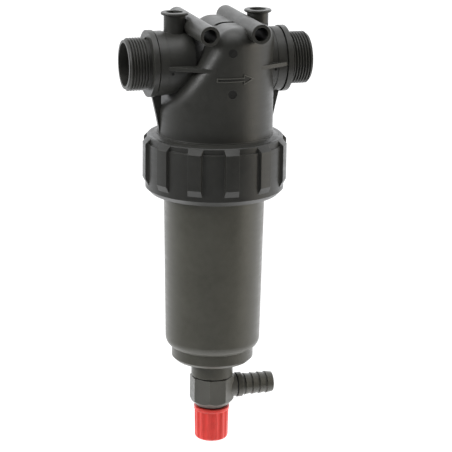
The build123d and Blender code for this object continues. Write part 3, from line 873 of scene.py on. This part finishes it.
class FILTER_OT_stage(bpy.types.Operator):
    """Set the pale floor, the soft lights, the white room and the camera"""

    bl_idname = "filter.stage"
    bl_label = "Floor, light and camera"

    def execute(self, context):
        stage = context.scene.filter_stage
        self.floor(context, stage)
        self.room(context, stage)
        self.lights(context, stage)
        self.camera(context, stage)
        context.scene.view_settings.view_transform = "Standard"
        return {"FINISHED"}

    def floor(self, context, stage):
        """Pale round floor well under the hanging filter."""
        shape = bmesh.new()
        bmesh.ops.create_circle(shape, cap_ends=True, segments=96, radius=stage.floor_radius)
        level = KNOB_BOTTOM - stage.floor_gap
        bmesh.ops.translate(shape, vec=(0.0, AXIS_Y, level), verts=shape.verts)
        mesh = bpy.data.meshes.new("floor")
        shape.to_mesh(mesh)
        shape.free()
        floor = bpy.data.objects.new("floor", mesh)
        context.scene.collection.objects.link(floor)
        finish = Finish("floor white", roughness=0.9, specular=0.1)
        tone = finish.noise(3.0, 2.0)
        pale = context.scene.filter_colours.floor
        finish.shader.inputs["Emission Strength"].default_value = stage.floor_glow
        mesh.materials.append(
            finish.out(Base_Color=finish.mix(tone, pale, WHITE), Emission_Color=WHITE)
        )

    def room(self, context, stage):
        """A white room, dimmer on the camera's side and plain white where the camera sees it."""
        world = bpy.data.worlds.new("white room")
        world.use_nodes = True
        room = Nodes(world.node_tree)
        ray = room.node("ShaderNodeTexCoord", output="Generated")
        bearing = stage.azimuth + stage.back_turn
        away = (math.sin(bearing), math.cos(bearing), 0.0)
        behind = room.vector("DOT_PRODUCT", ray, away, output="Value")
        brightness = room.ramp(
            behind * 0.5 + 0.5, (ROOM_DARK_TO, stage.front_level), (1.0, stage.back_level)
        )
        around = room.tree.nodes["Background"]
        room.feed(around.inputs["Color"], ROOM_TINT)
        room.feed(around.inputs["Strength"], brightness)
        seen = room.node(
            "ShaderNodeBackground", None, {"Color": WHITE, "Strength": ROOM_SEEN_LEVEL}
        )
        from_camera = room.node("ShaderNodeLightPath", output="Is Camera Ray")
        chosen = room.node("ShaderNodeMixShader", None, {
            0: from_camera, 1: Value(room, around.outputs[0]), 2: seen})
        room.feed(room.tree.nodes["World Output"].inputs["Surface"], chosen)
        context.scene.world = world

    def lights(self, context, stage):
        """A small soft box on the left, a warm one on the right and one overhead."""
        for name, (power, bearing, rise, size) in SOFT_BOXES.items():
            light = bpy.data.lights.new(name, "AREA")
            light.shape = "RECTANGLE"
            light.size, light.size_y = size
            light.energy = getattr(stage, power)
            lamp = bpy.data.objects.new(name, light)
            context.scene.collection.objects.link(lamp)
            around = math.radians(bearing) + stage.azimuth
            aim = self.aimed(lamp, stage, around, math.radians(rise), LIGHT_REACH)
            lamp.rotation_euler = aim.to_euler()
        bpy.data.lights["side light"].color = stage.side_tint[:3]

    def aimed(self, thing, stage, around, rise, reach):
        """Place a thing by its bearing left of straight in front. Gives the turn that aims it."""
        level = math.cos(rise)
        towards = Vector((-math.sin(around) * level, -math.cos(around) * level, math.sin(rise)))
        target = Vector((0.0, AXIS_Y, PORT_Z - stage.target_drop))
        thing.location = target + towards * reach
        return (-towards).to_track_quat("-Z", "Y")

    def camera(self, context, stage):
        """The photograph's viewpoint."""
        camera = bpy.data.objects.new("camera", bpy.data.cameras.new("camera"))
        context.scene.collection.objects.link(camera)
        camera.data.lens = stage.lens
        camera.data.sensor_width = stage.sensor
        camera.data.clip_end = CAMERA_RANGE
        aim = self.aimed(camera, stage, stage.azimuth, stage.elevation, stage.distance)
        turn = Quaternion((0, 1, 0), -stage.yaw) @ Quaternion((0, 0, 1), stage.roll)
        camera.rotation_euler = (aim @ turn).to_euler()
        context.scene.camera = camera


# Sidebar


class FILTER_PT_panel(bpy.types.Panel):
    """Buttons and settings of the filter"""

    bl_idname = "FILTER_PT_panel"
    bl_label = "Inline pressure filter"
    bl_space_type = "VIEW_3D"
    bl_region_type = "UI"
    bl_category = "Filter"

    def draw(self, context):
        for operator in OPERATORS:
            self.layout.operator(operator.bl_idname)
        for group in ("filter_sizes", "filter_colours", "filter_stage"):
            settings = getattr(context.scene, group)
            box = self.layout.box()
            for name in type(settings).__annotations__:
                box.prop(settings, name)


GROUPS = {
    "filter_sizes": FilterSizes,
    "filter_colours": FilterColours,
    "filter_stage": StageSettings,
}
OPERATORS = (
    FILTER_OT_head,
    FILTER_OT_marks,
    FILTER_OT_ring_nut,
    FILTER_OT_bowl,
    FILTER_OT_cartridge,
    FILTER_OT_drain_valve,
    FILTER_OT_seals,
    FILTER_OT_screws,
    FILTER_OT_stage,
)


def register():
    """Register the classes and hang the settings on the scene."""
    for group in (*GROUPS.values(), *OPERATORS, FILTER_PT_panel):
        bpy.utils.register_class(group)
    for name, group in GROUPS.items():
        setattr(bpy.types.Scene, name, bpy.props.PointerProperty(type=group))


def unregister():
    """Undo register()."""
    for name in GROUPS:
        delattr(bpy.types.Scene, name)
    for group in reversed((*GROUPS.values(), *OPERATORS, FILTER_PT_panel)):
        bpy.utils.unregister_class(group)


def main():
    """Build every piece and the stage."""
    register()
    for operator in OPERATORS:
        group, name = operator.bl_idname.split(".")
        getattr(getattr(bpy.ops, group), name)()


if __name__ == "__main__":
    main()
